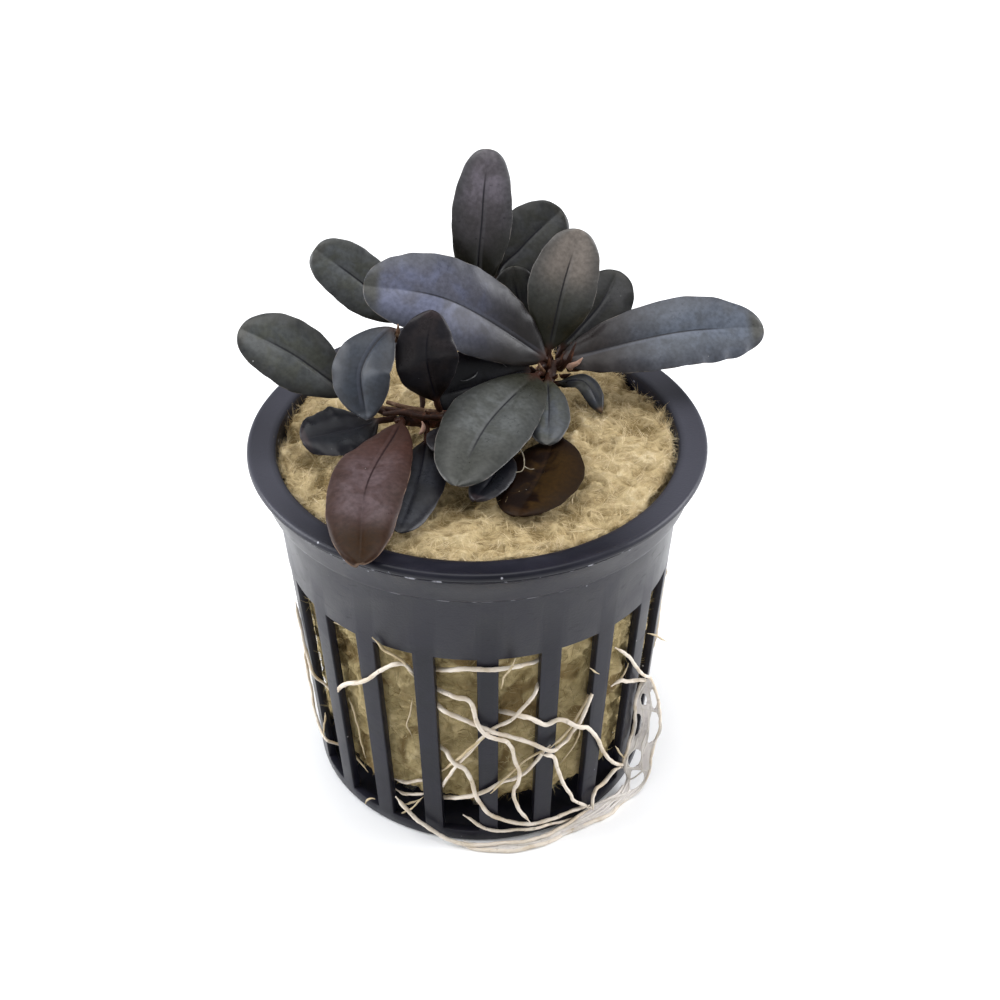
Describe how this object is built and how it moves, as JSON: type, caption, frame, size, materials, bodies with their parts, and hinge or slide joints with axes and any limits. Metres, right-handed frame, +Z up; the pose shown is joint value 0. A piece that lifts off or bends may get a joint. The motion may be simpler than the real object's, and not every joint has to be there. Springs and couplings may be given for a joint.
{
  "type": "potted bucephalandra",
  "caption": "Small aquarium plant with dark oval leaves on a creeping stem, growing in rock wool in a black slotted net pot with cream roots outside.",
  "frame": {"origin": "centre of the pot's base, on the surface that it stands on", "axes": "+Z up, -Y the plant's front, +X to the right seen from the front"},
  "size_m": [0.0632, 0.055, 0.0761],
  "materials": {
    "black_plastic": "satin moulded plastic, slate black, with white scuffs",
    "stone_wool": "matt swirled mineral fibres, sand coloured with olive shadows",
    "red_stem": "satin, knobbly, dark red brown",
    "slate_leaf": "satin leaf, slate grey",
    "blue_leaf": "satin leaf, blue grey with a dark midrib",
    "plum_leaf": "satin leaf, plum brown",
    "dark_leaf": "satin leaf, near black",
    "brown_leaf": "satin leaf, dark olive brown, ageing",
    "cream_root": "matt, cream white"
  },
  "bodies": {
    "root": {"net_pot": "black_plastic", "rock_wool": "stone_wool", "stem_crown": "red_stem", "stem_side_shoot": "red_stem", "leaf_upright": "plum_leaf", "leaf_over_rim": "plum_leaf", "leaf_long_left": "blue_leaf", "leaf_long_right": "blue_leaf", "leaf_arching": "blue_leaf", "leaf_back": "slate_leaf", "leaf_oval": "slate_leaf", "leaf_right_back": "slate_leaf", "leaf_left_back": "slate_leaf", "leaf_far_left": "slate_leaf", "leaf_front": "slate_leaf", "leaf_small_grey": "slate_leaf", "leaf_hooked": "slate_leaf", "leaf_inner_back": "slate_leaf", "leaf_black": "dark_leaf", "leaf_low_left": "dark_leaf", "leaf_dark_front": "dark_leaf", "leaf_tiny_dark": "dark_leaf", "leaf_inner_left": "dark_leaf", "leaf_under": "dark_leaf", "leaf_brown": "brown_leaf", "root_left_long": "cream_root", "root_left_loose": "cream_root", "root_front_high": "cream_root", "root_front_main": "cream_root", "root_front_cross": "cream_root", "root_right_fall": "cream_root", "root_front_back": "cream_root", "root_front_low": "cream_root", "root_rising": "cream_root", "root_right_low": "cream_root", "root_left_low": "cream_root", "root_left_side": "cream_root", "root_left_edge": "cream_root", "root_back_left": "cream_root", "root_back_high": "cream_root", "root_back_low": "cream_root", "root_back_right": "cream_root", "root_far_right": "cream_root", "root_foot_front": "cream_root", "root_foot_right": "cream_root", "root_right_outer": "cream_root", "root_right_inner": "cream_root"}
  },
  "joints": []
}
